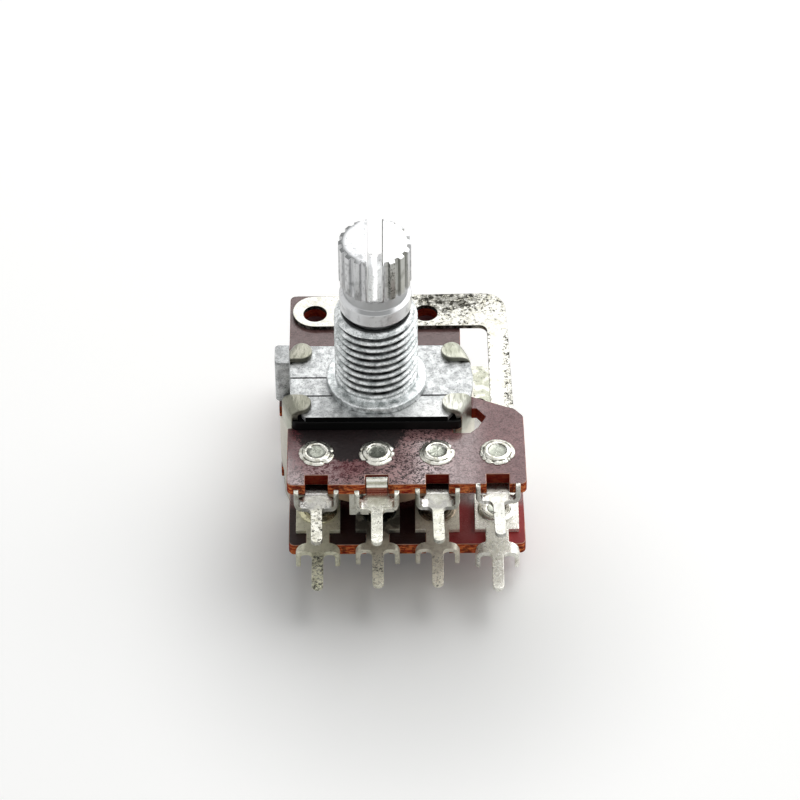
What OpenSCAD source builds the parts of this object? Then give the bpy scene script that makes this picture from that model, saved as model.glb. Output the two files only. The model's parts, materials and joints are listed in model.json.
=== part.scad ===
// Dual-gang rotary potentiometer, 16 mm size, with a threaded bushing and a knurled, slotted shaft.
// The shaft turns about +Z. The origin is on the shaft axis at the panel seat, the top of the collar.
// Every terminal points towards -Y.

/* [Shaft] */
// Gap between the bushing's mouth and the plain ring
ring_gap = 0.7; // [0.4:0.1:3]
// Height of the plain ring
ring_h = 1.25; // [0.8:0.05:3]
// Length of the neck between ring and knurl
neck_l = 1.3; // [0.6:0.1:3]
// Radius of the knurled end and of the plain ring below it
knob_r = 3; // [2.8:0.05:3.2]
// Radius of the shaft inside the bushing
shaft_r = 2.5; // [2.3:0.05:2.6]
// Length of the knurled end
knurl_l = 4.3; // [3:0.1:5]
// Number of knurl teeth
knurl_teeth = 18; // [12:1:36]
// Depth of the knurl's grooves
knurl_depth = 0.28; // [0.1:0.02:0.35]
// Width of the screwdriver slot
slot_w = 1.2; // [0.8:0.05:1.4]
// Depth of the screwdriver slot
slot_depth = 4.2; // [2:0.1:4.5]
// Radius of the shaft's keyed rear part
key_r = 2; // [1.8:0.05:2.1]
// Distance across the key's two flats
key_flats = 3.2; // [2.8:0.1:3.5]

/* [Bushing] */
// Outer radius of the bushing's thread
bushing_r = 3.5; // [3.4:0.05:4]
// Length of the thread above the panel seat
bushing_l = 7.45; // [5:0.05:7.5]
// Distance between two turns of the thread
thread_pitch = 0.75; // [0.5:0.05:1]
// Depth of the thread's grooves
thread_depth = 0.42; // [0.2:0.02:0.5]
// Chamfer at the bushing's mouth
bushing_chamfer = 0.45; // [0.2:0.05:0.6]
// Radial clearance between shaft and bushing
bore_gap = 0.03; // [0.02:0.01:0.06]
// Radius of the collar that seats on the panel
collar_r = 4.2; // [4:0.05:4.5]
// Height of the collar
collar_h = 0.6; // [0.4:0.05:1]

/* [Housing] */
// Outer radius of the metal shell
shell_r = 8.25; // [8:0.05:8.6]
// Wall of the metal shell
shell_t = 0.5; // [0.3:0.05:0.6]
// Space between the two wafers
gap_h = 5.95; // [5.6:0.05:8]
// Thickness of the front and the rear plate
plate_t = 0.55; // [0.4:0.05:0.8]
// Distance of the plates' round ends inside the shell's outer face
plate_inset = 0.15; // [0.05:0.05:0.3]
// Half depth of the plates and spacers, along Y
plate_half = 4.5; // [4.4:0.05:4.6]
// How much the plates' far edge stays behind that
plate_short = 0.3; // [0.05:0.05:0.4]
// Inner radius of the fingers' fold
fold_r = 0.3; // [0.1:0.05:0.4]
// Height of the black spacers
spacer_h = 0.9; // [0.8:0.05:1.3]
// Width of a folded finger
finger_w = 2; // [1.6:0.05:2.2]
// Distance of a finger's centre line from the X axis
finger_y = 3.15; // [3.1:0.05:3.25]
// Reach of a folded finger towards the shaft, as its tip's distance from the YZ plane
finger_tip_x = 5.45; // [5.2:0.05:5.8]
// Thickness of the shield between the two rotors
shield_t = 0.4; // [0.2:0.05:0.5]

/* [Locating lug] */
// Height of the lug above the plate
lug_post_h = 3.8; // [2:0.1:4.5]
// Thickness of the lug, along X
lug_post_t = 1.2; // [0.8:0.05:1.4]
// Width of the lug, along Y
lug_post_w = 2.2; // [1.5:0.1:2.4]

/* [Wafers] */
// Thickness of a wafer
board_t = 1.15; // [1:0.05:1.6]
// Left edge of the wafers, as a distance from the YZ plane
board_left = 7.45; // [7.3:0.05:7.6]
// Right edge of the wafers behind the ear
board_right = 7.1; // [7:0.05:7.3]
// Far edge of the wafers
board_back = 12.1; // [11.8:0.1:13]
// Edge of the wafers on the terminals' side
board_front = 11; // [10.9:0.05:11.1]
// Right edge of the ear that carries the fourth terminal
ear_right = 12.4; // [12.2:0.05:13]

/* [Terminals] */
// Distance between two neighbouring terminals
pitch = 5; // [4.8:0.05:5.2]
// Distance of the rivets from the XZ plane
rivet_y = 7.35; // [7.3:0.05:7.5]
// Thickness of the terminals and straps
tin_t = 0.4; // [0.3:0.05:0.45]
// Width of a terminal's head and of its crimp arms
head_w = 3.7; // [3.4:0.05:3.8]
// Width of a terminal's pin
pin_w = 0.95; // [0.8:0.05:1.2]
// Lowest point of the front terminals' pins, as a distance from the XZ plane
front_tip_y = 16.5; // [15:0.1:18]
// Lowest point of the rear terminals' pins, as a distance from the XZ plane
rear_tip_y = 16.2; // [15:0.1:18]
// Lower edge of the front terminals' arms, as a distance from the XZ plane
front_arm_y = 12.6; // [12.4:0.05:12.8]
// Lower edge of the rear terminals' arms, as a distance from the XZ plane
rear_arm_y = 12.1; // [12:0.05:12.4]
// Radius of an eyelet's rolled rim
rim_r = 1.5; // [1.3:0.05:1.6]
// Radius of an eyelet's barrel
barrel_r = 0.85; // [0.7:0.05:0.9]

/* [Straps] */
// Radius of the two holes in a strap
strap_hole_r = 1; // [0.8:0.05:1.2]
// Distance between the two holes
strap_hole_gap = 9.5; // [9.2:0.05:9.8]
// Place of the left hole along X
strap_hole_x = -5.3; // [-5.5:0.05:-5.2]
// Place of both holes along Y
strap_hole_y = 9.4; // [9.3:0.05:9.6]
// Width of the strap's bar
bar_w = 3.8; // [3.5:0.05:3.9]
// How much wider the bar is at its right end
bar_rise = 0.3; // [0:0.05:0.4]

/* [Hidden] */
$fn = 64;

// Clearance between pieces that are pressed or staked together
seat_gap = 0.02;
// Clearance round loosely fitted pieces
loose_gap = 0.1;
// Overlap of a cut past the face that it opens
over = 0.5;

// Heights of the stack, from the panel seat down
z_plate = -collar_h;
z_spacer = z_plate - plate_t;
z_board = z_spacer - spacer_h;
z_inner = z_board - board_t;
z_rear_inner = z_inner - gap_h;
z_mid = (z_inner + z_rear_inner) / 2;

// Shaft
z_ring = bushing_l + ring_gap;
z_knurl = z_ring + ring_h + neck_l;
shaft_len = z_knurl + knurl_l;
neck_r = knob_r - 0.35;
neck_cone = 0.25;
knurl_chamfer = 0.4;
clip_t = 0.5;
clip_r = shaft_r + 1.4;
clip_groove_r = shaft_r - 0.3;
z_clip = z_spacer - loose_gap - clip_t;
hub_gap = 0.25;
z_key = z_inner - hub_gap + seat_gap;
shaft_bottom = 2 * z_mid - z_board - spacer_h + 0.15;

// Bushing
thread_start = 0.9;
thread_turns = floor((bushing_l - bushing_chamfer - thread_start - thread_pitch / 2) / thread_pitch);
thread_flank = 0.42;
thread_root = 0.12;
spigot_r = bushing_r - 0.2;
bushing_bore_r = shaft_r + bore_gap;
mouth_bevel = 0.12;
collar_flat = 0.1;

// Shell
shell_in = shell_r - shell_t;
pocket_r = shell_in - loose_gap;
pocket_half = finger_w / 2 + loose_gap;
front_cut_h = 0.95;
rear_cut_h = 1.9;
cut_half = shell_in - 0.75;

// Plates and spacers
spacer_half_x = board_right + 0.05;
spacer_half_y = plate_half + 0.05;
spacer_corner = 0.5;
spacer_bore_r = clip_r + 0.5;
plate_r = shell_r - plate_inset;
plate_corner_r = shell_in - fold_r - seat_gap;
groove_w = 0.14;
groove_d = 0.2;
groove_inset = 1.6;
groove_start = 0.5;
tongue_y = -0.8;
tongue_half = 1.1;
lug_post_x = plate_r + 0.35 - lug_post_t;
lug_post_corner = 0.35;

// Wafers
board_hole_r = shaft_r + 0.8;
board_corner = 0.5;
notch_half = 0.95;
notch_y = board_front - 1.15;
tongue_x = shell_r - 0.05;
tongue_board_half = finger_y - pocket_half - 0.4;
leg_slot_x = sqrt(pow(pocket_r, 2) - pow(finger_y + pocket_half, 2));
ear_corner = 1;
ear_neck = [board_right, -0.2];
ear_top = [11.6, -2.15];
slot_right = shell_r + 0.85;
slot_slant = 0.65;
slot_low = 4.95;

// Terminals
front_leans = [0.8, 0, 1.4, 2];
rear_leans = [0, 0.6, 0, 0];
front_shifts = [0, -0.1, 0.1, 0.75];
rear_shifts = [-0.1, 0.1, 0.15, -0.35];
head_top = 5.5;
head_low = 9.65;
prong_h = 0.35;
prong_w = 0.85;
arm_bend = 0.7;
cup_round = 0.3;
cup_slope = 0.25;
pin_fillet = 0.42;
prong_round = 0.35;
rivet_hole_r = barrel_r + 0.05;
flange_r = rim_r + 0.1;
flange_t = 0.16;
rim_h = 0.34;
solder_h = 0.1;
rim_splits = [20, 95, 170, 265, 320];
split_w = 0.22;
front_split_turn = 47;
rear_split_turn = 61;

// Straps
bar_y = 9.7;
leg_in = 9.4;
leg_out = 10.95;
leg_lean = 0.3;
leg_flare = 0.5;
strap_corner = 1.9;
step_top_y = 6.2;
step_low_y = -0.1;
leg_low_y = -6;

// Rotors, measured from the wafer's inner face
rotor_near = 1;
rotor_far = 2.2;
rotor_r = shell_in - 1.45;
stop_r = shell_in - 0.45;
stop_in = rotor_r + 0.2;
rotor_stop_half = 16;
fixed_stop_half = 12;
hub_r = 3.1;
wiper_t = 0.2;
wiper_base_r = 4.4;
wiper_w = 1;
wiper_root = hub_r + 0.15;
wiper_knee = wiper_base_r - 0.3;
wiper_toe = 0.5;
wiper_curl = 0.25;
contact_gap = 0.06;
track_t = 0.08;
track_in = 4.6;
track_out = 5.8;
ring_in = 3.5;
ring_out = 4.3;
track_half_open = 30;
track_pad_x = 3.2;
track_pad_w = 1.4;

// Points of a closed outline with its corners rounded; each row of pts is [x, y, radius].
function unit(v) = v / norm(v);
function corner_points(p, a, b, r, steps = 6) =
    r == 0 ? [p] :
    let (u = unit(a - p), v = unit(b - p),
         half = acos(u * v) / 2,
         reach = r / tan(half),
         centre = p + unit(u + v) * (r / sin(half)),
         start = p + u * reach - centre,
         finish = p + v * reach - centre,
         a0 = atan2(start[1], start[0]),
         turn = atan2(start[0] * finish[1] - start[1] * finish[0], start * finish))
    [for (i = [0 : steps]) centre + r * [cos(a0 + turn * i / steps), sin(a0 + turn * i / steps)]];
function rounded(pts) =
    let (n = len(pts), flat = [for (p = pts) [p[0], p[1]]])
    [for (i = [0 : n - 1])
        each corner_points(flat[i], flat[(i + n - 1) % n], flat[(i + 1) % n], pts[i][2])];

// Outline with points on an arc from angle a0 to a1.
function arc(r, a0, a1, steps = 24) =
    [for (i = [0 : steps]) r * [cos(a0 + (a1 - a0) * i / steps), sin(a0 + (a1 - a0) * i / steps)]];

// Puts a piece of one gang in place: front for the front wafer's inner face, rear for the rear one's.
module at_front() { translate([0, 0, z_inner]) mirror([0, 0, 1]) children(); }
module at_rear() { translate([0, 0, z_rear_inner]) children(); }
// Mirrors a piece of the front stack to the rear stack.
module to_rear() { translate([0, 0, 2 * z_mid]) mirror([0, 0, 1]) children(); }

// Ring sector that a finger's leg stands in, on the side of X and Y given by sx and sy.
module leg_plan(r_in, r_out, half, sx, sy) {
    intersection() {
        difference() {
            circle(r = r_out);
            circle(r = r_in);
        }
        translate([sx > 0 ? 0 : -r_out - 1, sy * finger_y - half]) square([r_out + 1, 2 * half]);
    }
}

module leg_pockets() {
    for (sx = [-1, 1], sy = [-1, 1])
        leg_plan(pocket_r, shell_r + 1, pocket_half, sx, sy);
}

// Shaft
function knurl_points() =
    let (step = 360 / knurl_teeth, tip = 0.24 * step, root = 0.18 * step)
    [for (i = [0 : knurl_teeth - 1]) each [
        knob_r * [cos(i * step - tip), sin(i * step - tip)],
        knob_r * [cos(i * step + tip), sin(i * step + tip)],
        (knob_r - knurl_depth) * [cos((i + 0.5) * step - root), sin((i + 0.5) * step - root)],
        (knob_r - knurl_depth) * [cos((i + 0.5) * step + root), sin((i + 0.5) * step + root)]]];

module knurled_end() {
    intersection() {
        translate([0, 0, z_knurl]) linear_extrude(knurl_l) polygon(knurl_points());
        translate([0, 0, z_knurl]) rotate_extrude() polygon([
            [0, 0], [knob_r - knurl_depth / 2, 0], [knob_r + 0.1, knurl_chamfer],
            [knob_r + 0.1, knurl_l - knurl_chamfer / 2], [knob_r - knurl_chamfer, knurl_l],
            [0, knurl_l]]);
    }
}

module shaft() {
    color([0.85, 0.86, 0.87]) difference() {
        union() {
            knurled_end();
            rotate_extrude() polygon([
                [0, z_key], [shaft_r, z_key], [shaft_r, z_clip], [clip_groove_r, z_clip],
                [clip_groove_r, z_clip + clip_t], [shaft_r, z_clip + clip_t],
                [shaft_r, z_ring], [knob_r, z_ring],
                [knob_r, z_ring + ring_h], [neck_r, z_ring + ring_h + neck_cone],
                [neck_r, z_knurl], [0, z_knurl]]);
            intersection() {
                translate([0, 0, shaft_bottom]) cylinder(r = key_r, h = z_key - shaft_bottom);
                translate([-key_flats / 2, -shell_r, shaft_bottom])
                    cube([key_flats, 2 * shell_r, z_key - shaft_bottom]);
            }
        }
        translate([-slot_w / 2, -knob_r - over, shaft_len - slot_depth + slot_w / 2])
            cube([slot_w, 2 * (knob_r + over), slot_depth]);
        translate([0, knob_r + over, shaft_len - slot_depth + slot_w / 2])
            rotate([90, 0, 0]) cylinder(r = slot_w / 2, h = 2 * (knob_r + over));
    }
}

module retaining_ring() {
    color([0.35, 0.34, 0.33]) translate([0, 0, z_clip + seat_gap])
        linear_extrude(clip_t - 2 * seat_gap) difference() {
            circle(r = clip_r);
            circle(r = clip_groove_r + seat_gap);
            translate([-clip_groove_r * 0.7, 0]) square([clip_groove_r * 1.4, clip_r + over]);
        }
}

// Bushing. Each turn of the thread is a ring groove here: a nut's fit needs no helix.
function groove_points(z) = let (half = thread_flank * thread_pitch) [
    [bushing_r, z - half], [bushing_r - thread_depth, z - thread_root / 2],
    [bushing_r - thread_depth, z + thread_root / 2], [bushing_r, z + half]];

module threaded_bushing() {
    color([0.72, 0.75, 0.78]) difference() {
        rotate_extrude() polygon(concat(
            [[bushing_bore_r, z_spacer], [spigot_r, z_spacer], [spigot_r, z_plate],
             [collar_r, z_plate], [collar_r, 0], [bushing_r, 0]],
            [for (i = [0 : thread_turns]) each groove_points(thread_start + i * thread_pitch)],
            [[bushing_r, bushing_l - bushing_chamfer], [bushing_r - bushing_chamfer, bushing_l],
             [bushing_bore_r + mouth_bevel, bushing_l], [bushing_bore_r, bushing_l - mouth_bevel]]));
        translate([-collar_r, -collar_r - over, z_plate - over])
            cube([2 * collar_r, collar_flat + over, collar_h + over - seat_gap]);
    }
}

// Plates and spacers
module plate_plan() {
    intersection() {
        union() {
            circle(r = plate_corner_r);
            intersection() {
                circle(r = plate_r);
                square([2 * plate_r, 2 * (finger_y - pocket_half)], center = true);
            }
        }
        translate([-plate_r, -plate_half]) square([2 * plate_r, 2 * plate_half - plate_short]);
    }
}

module front_plate() {
    color([0.74, 0.77, 0.79]) {
        difference() {
            union() {
                translate([0, 0, z_spacer]) linear_extrude(plate_t) plate_plan();
                translate([0, 0, z_spacer]) linear_extrude(plate_t + lug_post_h) polygon(rounded([
                    for (s = [[1, 1], [0, 1], [0, 0], [1, 0]])
                        [-lug_post_x - s[0] * lug_post_t,
                         tongue_y + tongue_half - s[1] * lug_post_w, s[0] * lug_post_corner]]));
            }
            translate([0, 0, z_spacer - over]) cylinder(r = spigot_r + seat_gap, h = plate_t + 2 * over);
            for (sy = [-1, 1])
                translate([-lug_post_x, tongue_y + sy * tongue_half - groove_w / 2, z_plate - groove_d])
                    cube([lug_post_x - collar_r + groove_start, groove_w, groove_d + over]);
            translate([collar_r - groove_start, tongue_y - tongue_half - groove_w / 2, z_plate - groove_d])
                cube([plate_r - collar_r - groove_inset, groove_w, groove_d + over]);
        }
    }
}

module rear_plate() {
    color([0.74, 0.77, 0.79]) to_rear() translate([0, 0, z_spacer])
        linear_extrude(plate_t) plate_plan();
}

module spacer_plan() {
    difference() {
        polygon(rounded([
            for (s = [[-1, -1], [1, -1], [1, 1], [-1, 1]])
                [s[0] * spacer_half_x, s[1] * spacer_half_y, spacer_corner]]));
        leg_pockets();
    }
}

module front_spacer() {
    color([0.06, 0.06, 0.06]) difference() {
        translate([0, 0, z_board]) linear_extrude(spacer_h) spacer_plan();
        translate([0, 0, z_board - over]) cylinder(r = spacer_bore_r, h = spacer_h + 2 * over);
    }
}

module rear_spacer() {
    color([0.06, 0.06, 0.06]) to_rear() difference() {
        translate([0, 0, z_board]) linear_extrude(spacer_h) spacer_plan();
        translate([0, 0, z_board - over]) cylinder(r = key_r + bore_gap, h = spacer_h + 2 * over);
    }
}

// Wafers
module board_plan() {
    polygon(rounded([
        [-board_left, -board_front, board_corner],
        [-board_left, -finger_y - pocket_half, 0],
        [-leg_slot_x, -finger_y - pocket_half, 0],
        [-leg_slot_x, -finger_y + pocket_half, 0],
        [-board_left, -finger_y + pocket_half, 0],
        [-board_left, -tongue_board_half, 0],
        [-tongue_x, -tongue_board_half, 0],
        [-tongue_x, tongue_board_half, 0],
        [-board_left, tongue_board_half, 0],
        [-board_left, finger_y - pocket_half, 0],
        [-leg_slot_x, finger_y - pocket_half, 0],
        [-leg_slot_x, finger_y + pocket_half, 0],
        [-board_left, finger_y + pocket_half, 0],
        [-board_left, board_back, board_corner],
        [board_right, board_back, board_corner],
        [board_right, finger_y + pocket_half, 0],
        [leg_slot_x, finger_y + pocket_half, 0],
        [leg_slot_x, finger_y - pocket_half, 0],
        [board_right, finger_y - pocket_half, 0],
        [ear_neck[0], ear_neck[1], 0],
        [ear_top[0], ear_top[1], ear_corner / 2],
        [ear_right - 0.15, ear_top[1] - 0.8, ear_corner / 2],
        [ear_right, -board_front, board_corner]]));
}

module board() {
    linear_extrude(board_t) difference() {
        board_plan();
        polygon([
            [leg_slot_x, pocket_half - finger_y], [shell_r + loose_gap, pocket_half - finger_y],
            [slot_right, -finger_y + loose_gap], [slot_right - slot_slant, slot_slant - slot_low],
            [slot_right - 2 * slot_slant, -slot_low], [leg_slot_x, -slot_low]]);
        circle(r = board_hole_r);
        for (i = [-1 : 2]) {
            translate([i * pitch - notch_half, -board_front - over])
                square([2 * notch_half, board_front - notch_y + over]);
            translate([i * pitch, -rivet_y]) circle(r = rivet_hole_r);
        }
        for (i = [0, 1])
            translate([strap_hole_x + i * strap_hole_gap, strap_hole_y]) circle(r = strap_hole_r);
    }
}

module front_wafer() { color([0.33, 0.11, 0.09]) translate([0, 0, z_inner]) board(); }
module rear_wafer() { color([0.33, 0.11, 0.09]) to_rear() translate([0, 0, z_inner]) board(); }

// Printed track and collector ring on a wafer's inner face
module track() {
    linear_extrude(track_t) {
        polygon(concat(arc(track_out, track_half_open - 90, 270 - track_half_open),
                       arc(track_in, 270 - track_half_open, track_half_open - 90)));
        for (s = [-1, 1])
            translate([s * track_pad_x - track_pad_w / 2, loose_gap - head_top])
                square([track_pad_w, head_top - loose_gap - track_in * cos(track_half_open) + 0.1]);
    }
}

module collector() {
    linear_extrude(track_t) difference() {
        union() {
            circle(r = ring_out);
            translate([-0.7, loose_gap - head_top]) square([1.4, head_top - loose_gap - ring_in]);
        }
        circle(r = ring_in);
    }
}

module front_track() { color([0.1, 0.1, 0.1]) at_front() track(); }
module rear_track() { color([0.1, 0.1, 0.1]) at_rear() track(); }
module front_collector() { color([0.75, 0.74, 0.7]) at_front() collector(); }
module rear_collector() { color([0.75, 0.74, 0.7]) at_rear() collector(); }

// Terminals: z = 0 is the wafer's inner face, and the prongs reach back past its outer face.
// Below the wafer's edge the sheet widens to a cup, whose two sides are bent back as prongs.
module cup_plan(near_y, arm_y) {
    len_y = arm_y - near_y;
    polygon(rounded([
        [-notch_half, -near_y, 0], [-head_w / 2, -near_y - cup_slope * len_y, 0],
        [-head_w / 2, -arm_y, cup_round * len_y], [head_w / 2, -arm_y, cup_round * len_y],
        [head_w / 2, -near_y - cup_slope * len_y, 0], [notch_half, -near_y, 0]]));
}

module arms(arm_y) {
    reach = board_t + prong_h;
    near_y = board_front + loose_gap;
    prong = min(prong_w, arm_y - near_y - seat_gap);
    intersection() {
        translate([0, 0, -reach]) linear_extrude(reach + tin_t) cup_plan(near_y, arm_y);
        rotate([90, 0, 0]) translate([0, 0, near_y]) difference() {
            linear_extrude(arm_y - near_y) difference() {
                polygon(rounded([
                    [-head_w / 2, -reach, 0], [head_w / 2, -reach, 0],
                    [head_w / 2, tin_t, arm_bend], [-head_w / 2, tin_t, arm_bend]]));
                polygon(rounded([
                    [tin_t - head_w / 2, -reach - over, 0], [head_w / 2 - tin_t, -reach - over, 0],
                    [head_w / 2 - tin_t, 0, arm_bend / 2], [tin_t - head_w / 2, 0, arm_bend / 2]]));
            }
        }
        // Side view: the sheet, and the prong with its rounded end
        rotate([90, 0, 90]) translate([0, 0, -head_w]) linear_extrude(2 * head_w) union() {
            translate([-arm_y, 0]) square([arm_y - near_y, tin_t]);
            polygon(rounded([
                [-arm_y, tin_t / 2, 0], [-arm_y, -reach, prong_round * prong],
                [prong - arm_y, -reach, prong_round * prong], [prong - arm_y, tin_t / 2, 0]]));
        }
    }
}

module tail_plan(arm_y, tip_y, lean) {
    translate([-notch_half, -arm_y]) square([2 * notch_half, arm_y - head_low + over]);
    polygon(concat([[-pin_w / 2 - pin_fillet, seat_gap - arm_y], [pin_w / 2 + pin_fillet, seat_gap - arm_y]],
        [for (p = arc(pin_fillet, 90, 180, 6)) [pin_w / 2 + pin_fillet, -pin_fillet - arm_y] + p],
        [for (p = arc(pin_fillet, 0, 90, 6)) [-pin_w / 2 - pin_fillet, -pin_fillet - arm_y] + p]));
    translate([0, -arm_y + pin_w]) rotate([0, 0, lean]) {
        translate([-pin_w / 2, arm_y - tip_y - pin_w / 2])
            square([pin_w, tip_y - arm_y + pin_w / 2]);
        translate([0, arm_y - tip_y - pin_w / 2]) circle(r = pin_w / 2);
    }
}

module rivet_hole() {
    translate([0, -rivet_y, -over]) cylinder(r = rivet_hole_r, h = tin_t + 2 * over);
}

module lug(index, shift, lean, arm_y, tip_y) {
    translate([(index - 2) * pitch, 0, 0]) {
        difference() {
            linear_extrude(tin_t) {
                translate([-head_w / 2, -head_low]) square([head_w, head_low - head_top]);
                tail_plan(arm_y - shift, tip_y - shift, lean);
            }
            rivet_hole();
        }
        arms(arm_y - shift);
    }
}

module front_lug(index) {
    color([0.8, 0.8, 0.76]) at_front()
        lug(index, front_shifts[index - 1], front_leans[index - 1], front_arm_y, front_tip_y);
}

module rear_lug(index) {
    color([0.8, 0.8, 0.76]) at_rear()
        lug(index, rear_shifts[index - 1], rear_leans[index - 1], rear_arm_y, rear_tip_y);
}

module front_lug_1() { front_lug(1); }
module front_lug_2() {
    front_lug(2);
    color([0.8, 0.8, 0.76]) at_front() wiper_tongues();
}
module front_lug_3() { front_lug(3); }
module rear_lug_1() { rear_lug(1); }
module rear_lug_2() { rear_lug(2); }
module rear_lug_3() { rear_lug(3); }

// Strips bent out of the front wiper terminal: one stands in the wafer's notch, one hangs inside.
strip_half = notch_half - 0.07;
strip_y = notch_y + 0.45;
spare_x = 2.3;
spare_w = 1.6;
spare_h = 2.4;
module wiper_tongues() {
    translate([-strip_half, -strip_y - tin_t, -board_t - 0.2])
        cube([2 * strip_half, tin_t, board_t + 0.2 + tin_t]);
    for (z = [-board_t - 0.2, -board_t * 0.6])
        translate([-strip_half, -strip_y - tin_t, z]) rotate([0, 90, 0])
            cylinder(r = 0.18, h = 2 * strip_half);
    translate([-spare_x, -board_front, 0]) cube([spare_w, tin_t, spare_h]);
    translate([-spare_x, -board_front, 0]) cube([spare_x, board_front - head_low, tin_t]);
}

// Straps: one stamping joins the bar on the wafer's outer face, the leg beside it and terminal 4.
module strap_plan() {
    difference() {
        union() {
            translate([strap_hole_x, bar_y]) circle(r = bar_w / 2);
            polygon(rounded([
                [strap_hole_x, bar_y - bar_w / 2, 0], [leg_in, bar_y - bar_w / 2, 0.7],
                [leg_in + leg_lean, leg_low_y, 0], [leg_out + leg_lean + leg_flare, leg_low_y, 0],
                [leg_out, bar_y + bar_w / 2 + bar_rise, strap_corner],
                [strap_hole_x, bar_y + bar_w / 2, 0]]));
        }
        for (i = [0, 1])
            translate([strap_hole_x + i * strap_hole_gap, strap_hole_y]) circle(r = strap_hole_r);
    }
}

// Side view of the strap: y across the page, z up it, from the bar down to terminal 4.
module strap_side() {
    outer = -board_t;
    polygon([
        [-shell_r, 0], [step_low_y, 0], [step_top_y, outer - tin_t],
        [board_back + 1, outer - tin_t], [board_back + 1, outer],
        [step_top_y + tin_t, outer], [step_low_y + tin_t, tin_t], [-shell_r, tin_t]]);
}

module strap(shift, lean, arm_y, tip_y) {
    intersection() {
        translate([0, 0, -3 * board_t]) linear_extrude(6 * board_t) strap_plan();
        translate([-shell_r, 0, 0]) rotate([90, 0, 90]) linear_extrude(3 * shell_r) strap_side();
    }
    lug(4, shift, lean, arm_y, tip_y);
}

module front_strap() {
    color([0.82, 0.82, 0.78]) at_front()
        strap(front_shifts[3], front_leans[3], front_arm_y, front_tip_y);
}
module rear_strap() {
    color([0.82, 0.82, 0.78]) at_rear()
        strap(rear_shifts[3], rear_leans[3], rear_arm_y, rear_tip_y);
}

// Eyelets: a flange on the terminal and a rolled rim on the wafer's outer face, closed by solder.
// The rim split in a few places when it was rolled over.
module eyelet(index, turn) {
    outer = -board_t;
    translate([(index - 2) * pitch, -rivet_y, 0]) difference() {
        rotate_extrude() polygon([
            [0, outer - solder_h], [rim_r * 0.48, outer - solder_h], [rim_r * 0.56, outer - rim_h],
            [rim_r * 0.72, outer - rim_h], [rim_r * 0.92, outer - rim_h * 0.6],
            [rim_r, outer - seat_gap], [barrel_r, outer - seat_gap], [barrel_r, tin_t + seat_gap],
            [flange_r, tin_t + seat_gap], [flange_r, tin_t + flange_t], [0, tin_t + flange_t]]);
        for (angle = rim_splits)
            rotate([0, 0, angle + turn * index]) translate([rim_r * 0.8, 0, outer - rim_h - over])
                linear_extrude(rim_h + over - seat_gap)
                    polygon([[0, 0], [rim_r, -split_w], [rim_r, split_w]]);
    }
}
module front_eyelet(index) { color([0.8, 0.79, 0.74]) at_front() eyelet(index, front_split_turn); }
module rear_eyelet(index) { color([0.8, 0.79, 0.74]) at_rear() eyelet(index, rear_split_turn); }
module front_eyelet_1() { front_eyelet(1); }
module front_eyelet_2() { front_eyelet(2); }
module front_eyelet_3() { front_eyelet(3); }
module front_eyelet_4() { front_eyelet(4); }
module rear_eyelet_1() { rear_eyelet(1); }
module rear_eyelet_2() { rear_eyelet(2); }
module rear_eyelet_3() { rear_eyelet(3); }
module rear_eyelet_4() { rear_eyelet(4); }

// Shell: a round can between the wafers, with four fingers folded over each plate.
// The section of a leg and its fold is turned round the axis, then cut to the finger's outline.
module finger_plan(sx, sy) {
    tip = finger_tip_x + finger_w / 2;
    translate([sx * tip, sy * finger_y]) circle(r = finger_w / 2);
    translate([sx > 0 ? tip : -shell_r - 1, sy * finger_y - finger_w / 2])
        square([shell_r + 1 - tip, finger_w]);
}

module fingers() {
    intersection() {
        rotate_extrude() polygon(concat(
            [[0, z_plate]],
            [for (p = arc(fold_r, 90, 0, 6)) [shell_in - fold_r, z_plate - fold_r] + p],
            [[shell_in, z_inner - over], [shell_r, z_inner - over]],
            [for (p = arc(fold_r + shell_t, 0, 90, 8)) [shell_in - fold_r, z_plate - fold_r] + p],
            [[0, z_plate + shell_t]]));
        translate([0, 0, z_inner - shell_r]) linear_extrude(2 * shell_r)
            for (sx = [-1, 1], sy = [-1, 1]) finger_plan(sx, sy);
    }
}

module body_shell() {
    color([0.68, 0.7, 0.6]) {
        difference() {
            translate([0, 0, z_rear_inner]) cylinder(r = shell_r, h = gap_h);
            translate([0, 0, z_rear_inner - over]) cylinder(r = shell_in, h = gap_h + 2 * over);
            translate([-cut_half, -shell_r - over, z_inner - front_cut_h])
                cube([2 * cut_half, shell_r, front_cut_h + over]);
            translate([-cut_half, -shell_r - over, z_rear_inner - over])
                cube([2 * cut_half, shell_r, rear_cut_h + over]);
        }
        fingers();
        to_rear() fingers();
    }
}

// Shield between the rotors, with the stop that limits the front rotor
module shield_disc() {
    stop_h = gap_h / 2 - shield_t / 2 - rotor_near;
    color([0.7, 0.7, 0.66]) {
        translate([0, 0, z_mid - shield_t / 2]) linear_extrude(shield_t) difference() {
            circle(r = shell_in - seat_gap);
            circle(r = hub_r + hub_gap);
        }
        translate([0, 0, z_mid]) linear_extrude(shield_t / 2 + stop_h)
            polygon(concat(arc(stop_r, -90 - fixed_stop_half, fixed_stop_half - 90, 6),
                           arc(stop_in, fixed_stop_half - 90, -90 - fixed_stop_half, 6)));
    }
}

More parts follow.
